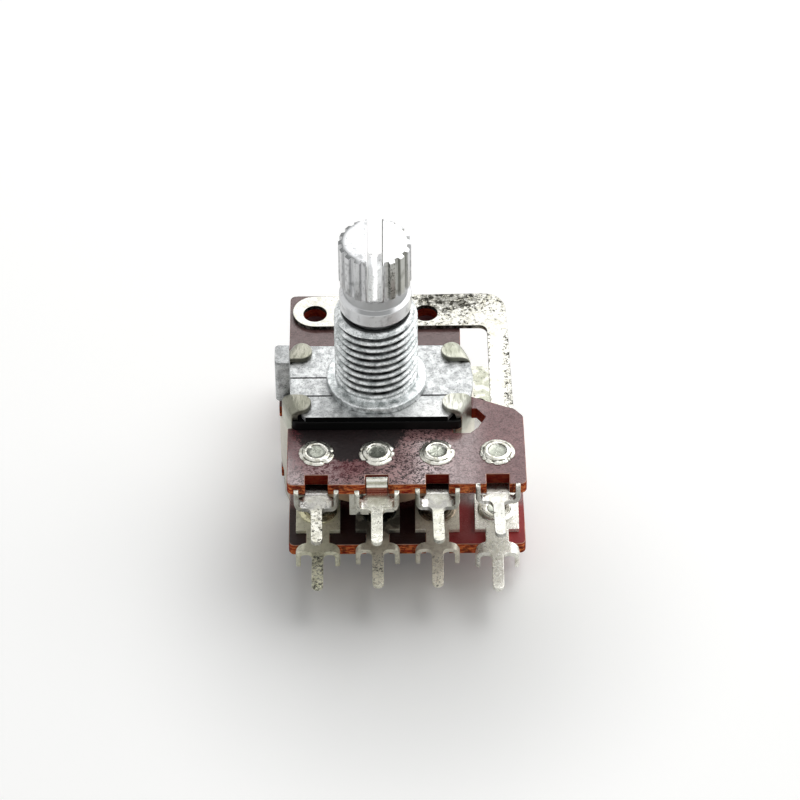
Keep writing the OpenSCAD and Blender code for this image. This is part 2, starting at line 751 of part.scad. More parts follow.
// Rotors and wipers: z = 0 is the wafer's inner face.
module rotor(hub_far) {
    difference() {
        union() {
            translate([0, 0, rotor_near]) linear_extrude(rotor_far - rotor_near) {
                circle(r = rotor_r);
                polygon(concat(arc(stop_r, 90 - rotor_stop_half, 90 + rotor_stop_half, 6),
                               arc(rotor_r - 1, 90 + rotor_stop_half, 90 - rotor_stop_half, 6)));
            }
            translate([0, 0, hub_gap]) cylinder(r = hub_r, h = hub_far - hub_gap);
        }
        intersection() {
            translate([0, 0, -over]) cylinder(r = key_r + seat_gap, h = gap_h);
            translate([-key_flats / 2 - seat_gap, -shell_r, -over])
                cube([key_flats + 2 * seat_gap, 2 * shell_r, gap_h]);
        }
    }
}

// Spring arm seen from the side: r is the distance from the axis, z the height over the wafer.
module wiper_arm(r_contact, bend) {
    tip = track_t + contact_gap;
    rotate([90, 0, 90]) translate([0, 0, bend - wiper_w / 2]) linear_extrude(wiper_w) polygon([
        [wiper_root, rotor_near], [wiper_knee, rotor_near],
        [r_contact + wiper_t / 2, tip + wiper_t], [r_contact + wiper_toe, tip + wiper_t + wiper_curl],
        [r_contact + wiper_toe, tip + wiper_curl], [r_contact, tip],
        [wiper_root, rotor_near - wiper_t]]);
}

module wiper() {
    translate([0, 0, rotor_near - wiper_t]) linear_extrude(wiper_t) difference() {
        circle(r = wiper_base_r);
        circle(r = hub_r + seat_gap);
    }
    wiper_arm((track_in + track_out) / 2, 0);
    rotate([0, 0, 35]) wiper_arm((ring_in + ring_out) / 2, 0);
    rotate([0, 0, -35]) wiper_arm((ring_in + ring_out) / 2, 0);
}

module front_rotor() { color([0.08, 0.08, 0.08]) at_front() rotor(gap_h / 2 - seat_gap); }
module rear_rotor() { color([0.08, 0.08, 0.08]) at_rear() rotor(gap_h / 2 - seat_gap); }
module front_wiper() { color([0.75, 0.7, 0.55]) at_front() wiper(); }
module rear_wiper() { color([0.75, 0.7, 0.55]) at_rear() wiper(); }

threaded_bushing();
front_plate();
front_spacer();
front_wafer();
front_track();
front_collector();
front_lug_1();
front_lug_2();
front_lug_3();
front_strap();
front_eyelet_1();
front_eyelet_2();
front_eyelet_3();
front_eyelet_4();
body_shell();
shield_disc();
front_rotor();
front_wiper();
rear_rotor();
rear_wiper();
rear_wafer();
rear_track();
rear_collector();
rear_lug_1();
rear_lug_2();
rear_lug_3();
rear_strap();
rear_eyelet_1();
rear_eyelet_2();
rear_eyelet_3();
rear_eyelet_4();
rear_spacer();
rear_plate();
shaft();
retaining_ring();
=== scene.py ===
# %% [markdown]
# A two-gang rotary potentiometer, photographed from its terminals' side.
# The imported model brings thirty-five solids in metres, each in its place, so nothing here is moved or fitted.
# This lesson gives them what a workshop gives the real ones: threads, rolled edges, tin, zinc and dirt.
# The model's box is measured at once, because the dressed part has to stay inside it.

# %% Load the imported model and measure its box
import json
import math
import random

import bmesh
import bpy
from mathutils import Matrix, Vector, noise

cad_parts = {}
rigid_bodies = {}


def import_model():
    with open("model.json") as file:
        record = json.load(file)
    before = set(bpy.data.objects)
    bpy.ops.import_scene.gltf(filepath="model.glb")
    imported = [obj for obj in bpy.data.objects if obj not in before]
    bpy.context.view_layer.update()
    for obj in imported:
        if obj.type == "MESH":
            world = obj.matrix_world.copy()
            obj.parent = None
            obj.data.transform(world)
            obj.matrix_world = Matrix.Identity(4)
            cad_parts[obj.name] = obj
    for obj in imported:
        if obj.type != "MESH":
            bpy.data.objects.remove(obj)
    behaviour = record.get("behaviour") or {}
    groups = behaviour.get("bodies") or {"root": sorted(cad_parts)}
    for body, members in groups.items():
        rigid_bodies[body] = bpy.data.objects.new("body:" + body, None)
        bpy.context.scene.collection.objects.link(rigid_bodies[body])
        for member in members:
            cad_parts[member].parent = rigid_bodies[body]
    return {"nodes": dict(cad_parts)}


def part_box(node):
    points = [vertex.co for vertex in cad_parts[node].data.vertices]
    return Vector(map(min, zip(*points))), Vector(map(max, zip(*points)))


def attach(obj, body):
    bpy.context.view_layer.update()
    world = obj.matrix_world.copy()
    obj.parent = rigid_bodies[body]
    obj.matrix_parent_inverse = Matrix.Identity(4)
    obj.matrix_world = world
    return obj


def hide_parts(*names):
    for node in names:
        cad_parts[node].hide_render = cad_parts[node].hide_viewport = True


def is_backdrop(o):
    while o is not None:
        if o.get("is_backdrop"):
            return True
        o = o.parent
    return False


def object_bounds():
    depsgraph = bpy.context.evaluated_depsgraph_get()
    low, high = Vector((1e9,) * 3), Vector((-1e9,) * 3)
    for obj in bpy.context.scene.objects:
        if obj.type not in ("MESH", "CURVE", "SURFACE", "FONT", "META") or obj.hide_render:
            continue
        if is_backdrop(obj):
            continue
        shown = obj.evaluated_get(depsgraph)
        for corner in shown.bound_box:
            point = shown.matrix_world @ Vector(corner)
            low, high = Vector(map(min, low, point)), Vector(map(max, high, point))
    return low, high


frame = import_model()
MM = 0.001


def plain_box():
    return [[round(value, 7) for value in corner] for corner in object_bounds()]


sizes = {"cad": plain_box()}
scene = bpy.context.scene
scene.view_settings.view_transform = "Standard"
print("solids:", len(frame["nodes"]), "box in metres:", sizes["cad"])

# %% [markdown]
# The camera was found from the part itself: the wafer's edges, the pins' pitch and the shaft's ends have
# known places, and one set of angles puts them all on their pixels. A camera could also be aimed at an empty
# object, but three axes worked out one by one leave no doubt about the small roll of the real one.
# It looks down by 44 degrees from 36 cm away through a long lens, which keeps the pins nearly parallel.

# %% Camera
PHOTO = 800
scale_px = 11.862168
focus_px = 4302.6
seat_pixel = (376.829485, 392.295185)
seat_point = Vector((0, 0, -2.05))
azimuth, elevation, roll = 0.00368231649, 0.764453887, -0.0103357805

level_right = Vector((math.cos(azimuth), math.sin(azimuth), 0))
level_ahead = Vector((-math.sin(azimuth), math.cos(azimuth), 0))
look = level_ahead * math.cos(elevation) - Vector((0, 0, math.sin(elevation)))
level_up = level_ahead * math.sin(elevation) + Vector((0, 0, math.cos(elevation)))
right = level_right * math.cos(roll) + level_up * math.sin(roll)
up = level_up * math.cos(roll) - level_right * math.sin(roll)
distance = focus_px / scale_px
across = (seat_pixel[0] - PHOTO / 2) / scale_px
above = (PHOTO / 2 - seat_pixel[1]) / scale_px
eye = seat_point - right * across - up * above - look * distance

camera = bpy.data.objects.new("studio_camera", bpy.data.cameras.new("studio_camera"))
scene.collection.objects.link(camera)
camera.matrix_world = Matrix.Translation(eye * MM) @ Matrix((right, up, -look)).transposed().to_4x4()
camera.data.lens = focus_px / PHOTO * camera.data.sensor_width
camera.data.clip_start, camera.data.clip_end = 0.01, 20
scene.camera = camera
print("camera at", [round(value, 1) for value in eye], "mm, lens", round(camera.data.lens, 1), "mm")

# %% [markdown]
# Materials are graphs of nodes, and a graph of fifty nodes is hard to read as code. So one small class wraps
# the socket that a value comes out of. Adding, multiplying or comparing two wraps adds the Math node for it,
# and 1 - mask works as well as mask - 1. Every other node comes from one method, node, which sets the node's
# settings first and its sockets after that. The same class serves the room's light and the floor.

# %% A wire, and the tree that it grows in
class Wire:
    """A number, colour or vector on its way from one node to the next."""

    def __init__(self, tree, socket):
        self.tree, self.socket = tree, socket

    def maths(self, operation, *terms):
        return self.tree.node("ShaderNodeMath", {"operation": operation}, dict(enumerate(terms)))

    def __add__(self, other):
        return self.maths("ADD", self, other)

    def __radd__(self, other):
        return self.maths("ADD", other, self)

    def __sub__(self, other):
        return self.maths("SUBTRACT", self, other)

    def __rsub__(self, other):
        return self.maths("SUBTRACT", other, self)

    def __mul__(self, other):
        return self.maths("MULTIPLY", self, other)

    def __rmul__(self, other):
        return self.maths("MULTIPLY", other, self)

    def __or__(self, other):
        return self.maths("MAXIMUM", self, other)

    def __abs__(self):
        return self.maths("ABSOLUTE", self)

    def eased(self, low, high):
        """0 at low, 1 at high, with a soft start and end; low may be the larger one."""
        return self.tree.node("ShaderNodeMapRange", {"interpolation_type": "SMOOTHSTEP"},
                              {"Value": self, "From Min": low, "From Max": high})


class Tree:
    """The node tree of a material or a world."""

    def __init__(self, owner):
        owner.use_nodes = True
        self.nodes, self.links = owner.node_tree.nodes, owner.node_tree.links

    def put(self, socket, value):
        if isinstance(value, Wire):
            self.links.new(value.socket, socket)
        elif isinstance(value, tuple) and len(value) == 3 and socket.type == "RGBA":
            socket.default_value = (*value, 1)
        else:
            socket.default_value = value

    def node(self, kind, settings=None, inputs=None, output=0):
        made = self.nodes.new(kind)
        for name, value in (settings or {}).items():
            setattr(made, name, value)
        for name, value in (inputs or {}).items():
            self.put(made.inputs[name], value)
        return Wire(self, made.outputs[output])

    def finish_with(self, kind, surface):
        """The output node of a tree that was cleared."""
        self.links.new(surface.socket, self.nodes.new(kind).inputs["Surface"])

    def blend(self, factor, low, high):
        """A colour between two colours."""
        return self.node("ShaderNodeMix", {"data_type": "RGBA"}, {0: factor, 6: low, 7: high}, output=2)

    def vector(self, operation, *terms):
        return self.node("ShaderNodeVectorMath", {"operation": operation}, dict(enumerate(terms)))

    def length(self, vector):
        return self.node("ShaderNodeVectorMath", {"operation": "LENGTH"}, {0: vector}, output="Value")

    def grain(self, place, size, stretch=(1, 1, 1), detail=3.0, rough=0.55, warp=0.0):
        """Noise from 0 to 1 whose lumps are about size mm across, longer where stretch is above 1."""
        squeezed = self.vector("MULTIPLY", place, tuple(1 / (size * part) for part in stretch))
        return self.node("ShaderNodeTexNoise", {}, {
            "Vector": squeezed, "Scale": 1.0, "Detail": detail, "Roughness": rough, "Distortion": warp})


def srgb(*levels):
    """A colour as a paint program writes it, 0 to 255, in the linear numbers of a shader."""
    return tuple(((v / 255 + 0.055) / 1.055) ** 2.4 if v > 10 else v / 255 / 12.92 for v in levels)


print("pale grey 200 is", [round(value, 3) for value in srgb(200, 200, 200)])

# %% [markdown]
# The floor is a sheet of white paper under the rear plate. A backdrop could be curved up behind the part,
# but from this height the camera sees only floor. The room round it is white too: rays from the camera and
# from polished metal see it at full strength, and matt surfaces get a little less, so shadows stay.
# The paper adds a trace of its own light to what falls on it, a little near the part and more further out,
# as if the table behind were lit too. That lifts the background to white and keeps the shadow.

# %% Floor and room
floor_z = sizes["cad"][0][2]
shadow_middle, shadow_r, bright_r = (0.004, -0.018, 0), 0.004, 0.027
shadow_glow, added_glow = 0.045, 0.21


def seen_directly(tree):
    """1 for rays from the camera, from glossy surfaces and through glass, else 0."""
    path = [tree.node("ShaderNodeLightPath", output=name)
            for name in ("Is Camera Ray", "Is Glossy Ray", "Is Transmission Ray")]
    return path[0] | path[1] | path[2]


room = bpy.data.worlds.new("white_room")
scene.world = room
tree = Tree(room)
tree.nodes.clear()
room_light = tree.node("ShaderNodeBackground", {}, {"Color": srgb(252, 253, 255), "Strength": 0.22})
room_white = tree.node("ShaderNodeBackground", {}, {"Color": (1.0, 1.0, 1.0), "Strength": 1.0})
shown = tree.node("ShaderNodeMixShader", {}, {0: seen_directly(tree), 1: room_light, 2: room_white})
tree.finish_with("ShaderNodeOutputWorld", shown)

paper = bpy.data.materials.new("white_paper")
tree = Tree(paper)
tree.nodes.clear()
matt = tree.node("ShaderNodeBsdfDiffuse", {}, {"Color": srgb(247, 247, 245)})
spot = tree.node("ShaderNodeTexCoord", output="Object")
away = tree.length(tree.vector("SUBTRACT", spot, shadow_middle))
glow = shadow_glow + added_glow * away.eased(shadow_r, bright_r)
lift = tree.node("ShaderNodeEmission", {}, {"Color": (1.0, 1.0, 1.0), "Strength": seen_directly(tree) * glow})
both = tree.node("ShaderNodeAddShader", {}, {0: matt, 1: lift})
tree.finish_with("ShaderNodeOutputMaterial", both)

bpy.ops.mesh.primitive_grid_add(x_subdivisions=4, y_subdivisions=4, size=6, location=(0, 0, floor_z))
floor = bpy.context.active_object
floor.name = "paper_floor"
floor.data.materials.append(paper)
floor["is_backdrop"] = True
print("floor at", round(floor_z / MM, 2), "mm")

# %% [markdown]
# In the photograph the wafers mirror a broad light behind the part, the metal's right sides are brighter than
# its left ones, and the shadow falls to the lower left. One large softbox behind, above and a little
# to the right gives all three, and a smaller one overhead deepens the shadow under the pins. A sun lamp would
# throw a harder shadow and leave no shape in the gloss. Radiance is power over area and pi, so each softbox
# is set by how many times as bright as white paper it is.

# %% Softboxes
def softbox(name, direction, distance, width, height, brightness):
    lamp = bpy.data.lights.new(name, "AREA")
    lamp.shape, lamp.size, lamp.size_y = "RECTANGLE", width, height
    lamp.energy = brightness * math.pi * width * height
    holder = bpy.data.objects.new(name, lamp)
    scene.collection.objects.link(holder)
    holder.location = Vector(direction).normalized() * distance
    holder.rotation_euler = (-holder.location).to_track_quat("-Z", "Y").to_euler()
    return lamp.energy


watts = [softbox("rear_softbox", (0.5, 0.7, 0.72), 0.6, 1.15, 0.62, 1.4),
         softbox("top_softbox", (0.45, 0.42, 1.0), 0.6, 0.48, 0.42, 2.1)]
print("softbox power", [round(value, 2) for value in watts], "W")

# %% [markdown]
# Each finish below is one function that fills a material: it starts with a place in millimetres on the part,
# makes a few masks from noise or from that place, and mixes colours and roughness by them. Photographs
# of the real surfaces could be used as textures, but they carry the light of the day they were taken in.
# A small class keeps the shader, the place and the normal together.

# %% A finish
class Finish(Tree):
    def __init__(self, name, **constants):
        self.material = bpy.data.materials.new(name)
        super().__init__(self.material)
        self.shader = self.nodes["Principled BSDF"]
        self.place = self.vector("MULTIPLY", self.node("ShaderNodeTexCoord", output="Object"), (1 / MM,) * 3)
        self.normal = self.node("ShaderNodeTexCoord", output="Normal")
        self.set(**constants)

    def set(self, **values):
        """Sockets of the shader; Base_Color stands for Base Color."""
        for name, value in values.items():
            self.put(self.shader.inputs[name.replace("_", " ")], value)

    def part(self, vector, letter):
        return self.node("ShaderNodeSeparateXYZ", {}, {0: vector}, output=letter)

    def axes(self):
        """The place's X, Y and Z in mm."""
        return [self.part(self.place, letter) for letter in "XYZ"]

    def level(self):
        """1 on a face that looks straight up or down, 0 on an upright one."""
        return abs(self.part(self.normal, "Z"))

    def radius(self, x=0.0, y=0.0):
        """Distance in mm from the upright line through x, y, which is the shaft's axis by default."""
        apart = self.vector("SUBTRACT", self.place, (x, y, 0))
        return self.length(self.vector("MULTIPLY", apart, (1, 1, 0)))

    def relief(self, height, depth):
        """Bump: height from 0 to 1 stands for depth mm."""
        bump = {"Height": height, "Strength": 1.0, "Distance": depth * MM}
        self.set(Normal=self.node("ShaderNodeBump", {}, bump))


probe = Finish("probe")
print("sockets of the shader:", len(probe.shader.inputs))
bpy.data.materials.remove(probe.material)

# %% [markdown]
# Zinc castings are the bushing and the front plate: pale bluish grey, mottled where the metal cooled, and
# dull because zinc skins over. The thread's valleys carry dirt together with painted shade, which reaches
# further at the front, and they are nearer to the axis than its crests, so the valley mask comes from the
# radius. Painting dirt by hand would not follow the helix. The bore's mouth, the plate's front edge and its
# lower grooves are painted shade, and the plate's right front a painted highlight.

# %% Cast zinc
def cast_zinc(name, pale, dark, thread=False):
    f = Finish(name, Metallic=1.0)
    across, along, height = f.axes()
    cloud = f.grain(f.place, 0.7, detail=6.0, rough=0.78).eased(0.38, 0.6)
    speck = f.grain(f.place, 0.16, detail=4.0, rough=0.75)
    shade = f.blend(cloud, dark, pale)
    dirt_and_shade = speck.eased(0.55, 0.66) * 0.6
    if thread:
        # Painted shade with dirt in the thread's valleys; at the front it reaches further up the flanks.
        valley = (f.radius() - 0.1 * along.eased(-1.6, -3.0)).eased(3.3, 3.12)
        valley = valley * height.eased(0.1, 0.4) * height.eased(7.0, 6.9)
        # Painted shade: the bore's mouth and chamfer are made nearly black where the shaft shades them.
        mouth = f.radius().eased(2.98, 2.8) * height.eased(6.6, 6.9)
        dirt_and_shade = dirt_and_shade | valley * (0.8 + 0.2 * f.grain(f.place, 0.9).eased(0.3, 0.7)) | mouth * 0.9
    else:
        # Painted highlight: the plate's right front is made lighter.
        shade = f.blend(across.eased(0.0, 5.0) * along.eased(-2.0, -3.4) * 0.4, shade, srgb(224, 224, 222))
        dots = f.grain(f.place, 0.11, detail=3.0, rough=0.8).eased(0.59, 0.64)
        # Painted shade: the plate's upright front edge is made black.
        rim = along.eased(-4.42, -4.47) * (1 - f.level().eased(0.55, 0.85))
        # Painted shade: faces below Z -0.64 mm in the plate's middle, its lower grooves among them, are made
        # nearly black. The post's top above Z 3 mm is made a little darker.
        groove_shade = height.eased(-0.6, -0.64) * abs(across).eased(7.1, 7.0) * abs(along).eased(2.3, 2.2)
        dirt_and_shade = dirt_and_shade | dots * 0.55 | rim | groove_shade * 0.95 | height.eased(2.9, 3.1) * 0.22
    f.set(Base_Color=f.blend(dirt_and_shade, shade, srgb(16, 17, 17)), Roughness=0.3 + 0.16 * cloud + 0.3 * dirt_and_shade)
    f.relief(speck * 0.55 + cloud * 0.45, 0.03)
    return f.material


# Painted light and shade: the bushing's zinc tones are set paler than the plate's, to even out how differently
# the two catch the light.
zinc_thread = cast_zinc("zinc_thread", srgb(232, 235, 235), srgb(158, 163, 163), thread=True)
zinc_plate = cast_zinc("zinc_plate", srgb(190, 192, 192), srgb(134, 136, 136))
print("finishes:", zinc_thread.name, zinc_plate.name)

# %% [markdown]
# The shaft is turned from aluminium bar. The tool leaves fine rings round the side and on the end face, so
# the marks are noise along one number, the radius plus the height: it runs up the side and across the end
# without a seam. An image of brushed metal would need unwrapping and would show its edges.

# %% Turned aluminium
def turned_metal(name, colour, shade, depth):
    f = Finish(name, Metallic=1.0)
    across, _, height = f.axes()
    level = f.level().eased(0.5, 0.9)
    run = f.radius() * 1.3 + height
    line = f.node("ShaderNodeCombineXYZ", {}, {"X": run * 9.0})
    rings = f.node("ShaderNodeTexNoise", {}, {"Vector": line, "Scale": 1.0, "Detail": 3.0, "Roughness": 0.7})
    smear = f.grain(f.place, 0.8, detail=4.0)
    nicks = f.grain(f.place, 0.22, stretch=(1, 1, 2.5), detail=2.0).eased(0.7, 0.78)
    # Painted shade: a darker band round the neck, between Z 9.5 and 10.7 mm.
    waist_shade = height.eased(9.5, 9.8) * height.eased(10.7, 10.5) * 0.45
    streak = f.grain(f.place, 0.3, stretch=(1, 1, 4), detail=3.0, rough=0.7).eased(0.54, 0.66)
    streak = streak * height.eased(10.6, 10.9)
    # Painted reflection: the ledge is made darker across its middle, within about 1.5 mm of X = 0.
    ledge_shade = level * height.eased(8.0, 8.4) * height.eased(10.2, 10.0) * abs(across).eased(1.8, 1.1)
    # Painted shade: the end face's outer edge is made darker in a crescent on the left side only.
    worn = level * height.eased(12.0, 13.0) * f.radius().eased(2.3, 2.75) * across.eased(-0.8, -1.8)
    marks_and_shade = nicks * 0.7 | smear.eased(0.5, 0.72) * 0.6 | streak * 0.6 | waist_shade | ledge_shade * 0.8 | worn * 0.95
    slotted = abs(across).eased(0.64, 0.6) * height.eased(10.9, 11.3)
    # A darker, flecked band on the knurl's upright faces between X 1.1 and 2.5 mm.
    knurl_right_band = across.eased(0.7, 1.1) * across.eased(2.9, 2.5) * height.eased(10.8, 11.1) * (1 - level)
    flecks = f.grain(f.place, 0.18, detail=3.0).eased(0.52, 0.6)
    flecks = flecks * across.eased(1.0, 1.1) * across.eased(1.75, 1.6)
    # Painted shadow: a thin dark line along the slot's right rim on the end face.
    slot_rim_shadow = across.eased(0.6, 0.62) * across.eased(0.72, 0.69) * level * height.eased(14.5, 14.8)
    shown = f.blend(slotted, f.blend(marks_and_shade, colour, shade), srgb(240, 240, 238))
    shown = f.blend(knurl_right_band * 0.45, shown, srgb(140, 140, 122))
    shown = f.blend(flecks * knurl_right_band * 0.8 | slot_rim_shadow * 0.85, shown, srgb(58, 58, 52))
    f.set(Base_Color=shown, Roughness=0.18 + 0.16 * smear + 0.1 * rings)
    f.relief(rings * 0.7 + smear * 0.3 - nicks * 0.5, depth)
    return f.material


shaft_metal = turned_metal("shaft_metal", srgb(204, 205, 206), srgb(112, 114, 114), 0.014)
print("finish:", shaft_metal.name)

# %% [markdown]
# Terminals and straps are stamped from tinned brass. Hot tin runs a little before it freezes, so the surface
# is silvery and gently uneven, with grey and olive stains and tiny black pits. Each stamping is tinned in
# another batch and stained differently: one function makes them all, and a seed moves its noise about.
# Its arguments also paint light and shade: darker zones along Y, in the notches and on a tongue, and on the
# front lugs a lighter pin, bright cup edges and patches, and dark spots beside the prongs.

# %% Tinned sheet
def tinned(name, seed, pale=(206, 205, 197), stain=(128, 124, 100), wear=0.35, rough=0.2, painted_shade=None,
           strap=0.0, pin=0.0, solder=None, notch=0.0, tongue=0.0, metal=1.0, centre=99.0):
    """The Y span with strength and colour, notch and tongue give dark zones of painted shade; strap and pin
    say how densely bar and pins are flecked; solder is the middle of a rivet, and centre is the X of the pin."""
    f = Finish(name, Metallic=metal)
    bright = metal == 1.0
    place = f.vector("ADD", f.place, (seed * 7.3, seed * 3.1, seed * 5.7))
    across, along, height = f.axes()
    flow = f.grain(place, 1.3, detail=4.0, warp=0.6)
    blotch = f.grain(place, 0.55, detail=5.0, rough=0.65)
    pits = f.grain(place, 0.11, detail=3.0, rough=0.7)
    field = f.grain(place, 3.2, detail=2.0).eased(0.36, 0.62)
    aside = abs(across - centre)
    arms = aside.eased(1.1, 1.3) * aside.eased(3.0, 2.8) * along.eased(-10.2, -10.5)
    pin_highlight = aside.eased(0.52, 0.46) * along.eased(-12.2, -12.6)
    stains = blotch.eased(0.46, 0.66) * wear
    specks = pits.eased(0.57, 0.66) * (0.2 + 0.8 * field) * (0.3 + 0.7 * wear)
    if strap or pin:
        bar = (0.45 + 0.55 * along.eased(8.6, 10.6)) * across.eased(1.0, 4.6) * along.eased(6.5, 8.0) * strap
        bar = bar * (1 - 0.45 * across.eased(7.5, 9.5))
        tail = along.eased(-11.6, -12.6) * pin
        brim = abs(across - 10.2).eased(0.4, 0.66) * along.eased(8.0, 6.5) * along.eased(-8.5, -7.5) * strap
        dense = bar * 1.3 | tail | brim * 0.8 | arms * 0.7
        fleck = f.grain(place, 0.26, detail=5.0, rough=0.8) + dense * 0.16
        specks = specks | fleck.eased(0.63, 0.68) * (0.5 + 0.5 * f.grain(place, 0.5).eased(0.35, 0.6))
        stain_grain = f.grain(place, 0.5, detail=4.0, rough=0.7) + (bar | tail) * 0.16
        stains = stains | stain_grain.eased(0.6, 0.7) * 0.5
    if strap:
        # Painted shade: the strap's upright edges are flecked dark.
        side = (1 - f.level().eased(0.3, 0.6)) * along.eased(-7.0, -5.0)
        specks = specks | side * (0.35 + 0.65 * blotch.eased(0.35, 0.6))
    shade = f.blend(stains, srgb(*pale), srgb(*stain))
    if bright:
        # Painted highlight: a lighter line along the middle of each front pin.
        shade = f.blend(pin_highlight * 0.2, shade, srgb(240, 239, 229))
    # Painted shade: a zone along Y made darker, for cups, a pin, a head and a bar that sit in shade.
    if painted_shade:
        start, end, strength, colour = painted_shade
        shade_mask = along.eased(start, end) * strength * (0.5 + 0.5 * flow.eased(0.4, 0.56))
        shade = f.blend(shade_mask * (1 - 0.8 * arms), shade, srgb(*colour))
    if bright:
        # Painted highlight: a bright line along the top of the cup, where its bend catches the light.
        edge = along.eased(-10.78, -10.86) * along.eased(-11.02, -10.94) * aside.eased(1.0, 0.8)
        # Painted highlight: bright patches on the cup, left of the pin.
        cup_highlight = along.eased(-11.3, -11.5) * along.eased(-12.6, -12.4) * aside.eased(0.7, 0.9)
        cup_highlight = cup_highlight * aside.eased(1.6, 1.4) * blotch.eased(0.44, 0.54)
        cup_highlight = cup_highlight * across.eased(centre + 0.3, centre - 0.3)
        shade = f.blend(edge * 0.5 | cup_highlight * 0.7, shade, srgb(250, 250, 247))
        # Painted shadow: dark spots on the cup beside the inner side of each prong.
        prong_shadow = along.eased(-10.9, -11.0) * along.eased(-11.7, -11.5) * aside.eased(1.05, 1.2)
        prong_shadow = prong_shadow * aside.eased(1.8, 1.65) * f.grain(place, 0.4).eased(0.46, 0.54)
        shade = f.blend(prong_shadow * 0.85, shade, srgb(28, 26, 22))
    if notch:
        shadow = along.eased(-10.6, -10.4) * along.eased(-9.5, -9.7) * notch
        shade = f.blend(shadow, shade, srgb(26, 20, 18))
    if tongue:
        # Painted shade in the wafer's red: the tongue's lower front face is tinted red-brown.
        low = height.eased(-2.62, -2.72) * along.eased(-10.95, -10.85) * tongue
        shade = f.blend(low, shade, srgb(142, 60, 36))
    if solder:
        away = f.radius(*solder)
        shade = f.blend(away.eased(0.74, 0.66) * 0.85, shade, srgb(130, 134, 124))
        seam = away.eased(0.68, 0.74) * away.eased(0.82, 0.76)
        seam = seam | away.eased(1.12, 1.18) * away.eased(1.28, 1.2)
        specks = specks | seam * blotch.eased(0.36, 0.54) * 0.9
    cup = along.eased(-12.8, -12.5) * along.eased(-10.8, -11.0)
    specks = specks * (1 - 0.7 * cup)
    f.set(Base_Color=f.blend(specks, shade, srgb(40, 39, 34)), Roughness=rough + 0.16 * blotch + 0.3 * specks)
    f.relief(flow * 0.6 + blotch * 0.34 + pits * 0.06 - specks * 0.2, 0.06)
    return f.material


print("tinned() makes a new finish for every batch")

# %% [markdown]
# The can is nickel-plated steel: a warmer, slightly yellow-green grey, drawn into shape and then folded over
# the plates. Drawing leaves faint upright scratches on its wall, and folding leaves wrinkles at the fingers'
# bends, so the relief is stretched along Z and stronger near the folds. Its colour also holds painted light
# and shade: darker left fingers, upright sides and creases, a lighter right front finger and lower wall, and a
# painted reflection of the wafers on the front wall.

# %% Nickel-plated steel
def nickel_steel(name):
    f = Finish(name, Metallic=1.0)
    cloud = f.grain(f.place, 2.2, detail=4.0)
    scratch = f.grain(f.place, 0.09, stretch=(1, 1, 14), detail=3.0, rough=0.7)
    pits = f.grain(f.place, 0.16, detail=4.0, rough=0.75).eased(0.62, 0.7)
    across, along, height = f.axes()
    fold = height.eased(-1.7, -0.9)
    crease = f.grain(f.place, 0.45, stretch=(0.6, 2.2, 1), detail=4.0, rough=0.65, warp=0.8)
    shade = f.blend(cloud.eased(0.35, 0.7), srgb(144, 146, 132), srgb(190, 190, 179))
    # Painted shade: the fingers on the left are made darker.
    shade = f.blend(across.eased(-3.0, -5.0) * fold * 0.65, shade, srgb(120, 118, 106))
    # Painted highlight: the right front finger is made lighter.
    shade = f.blend(across.eased(3.0, 5.0) * along.eased(-1.5, -3.5) * fold * 0.3, shade, srgb(206, 206, 202))
    # Painted light: the wall below Z -3 mm is made lighter.
    shade = f.blend(height.eased(-2.6, -3.4) * 0.6, shade, srgb(206, 200, 190))
    # Painted reflection of the wafers: the front wall between them is tinted brown.
    shade = f.blend(along.eased(-6.0, -7.5) * height.eased(-2.0, -3.0) * 0.7, shade, srgb(150, 112, 86))
    # Painted shade: the fingers' upright sides above Z -0.6 mm and their creases are darkened.
    side = (1 - f.level().eased(0.2, 0.5)) * height.eased(-0.66, -0.6)
    marks_and_shade = pits * 0.5 | crease.eased(0.52, 0.66) * fold * 0.55 | side * 0.5
    f.set(Base_Color=f.blend(marks_and_shade, shade, srgb(70, 70, 56)),
          Roughness=0.24 + 0.16 * cloud + 0.12 * scratch + 0.3 * pits)
    f.relief(scratch * 0.12 + crease * fold * 1.3 + cloud * 0.15 - pits * 0.1, 0.07)
    return f.material


can_metal = nickel_steel("can_metal")
print("finish:", can_metal.name)

# %% [markdown]
# The wafers are punched from phenolic board: layers of paper in brown resin, with a hard glossy skin.
# The skin is nearly black-red and mirrors the room, and the punched edges show the bare layers in orange
# and rust. One material does both: the normal's Z part tells skin from edge, and the layers are noise
# squeezed along Z. Two materials would need the faces sorted by hand. The skin's pale pink-grey is painted
# sheen; painted shade darkens the notches, slot and holes, a patch below the bushing, a front-left zone and
# the rear wafer under the front one, and a painted highlight runs along the front edges.

# %% Phenolic board
small_holes = ((-5.3, 9.4), (4.2, 9.4))


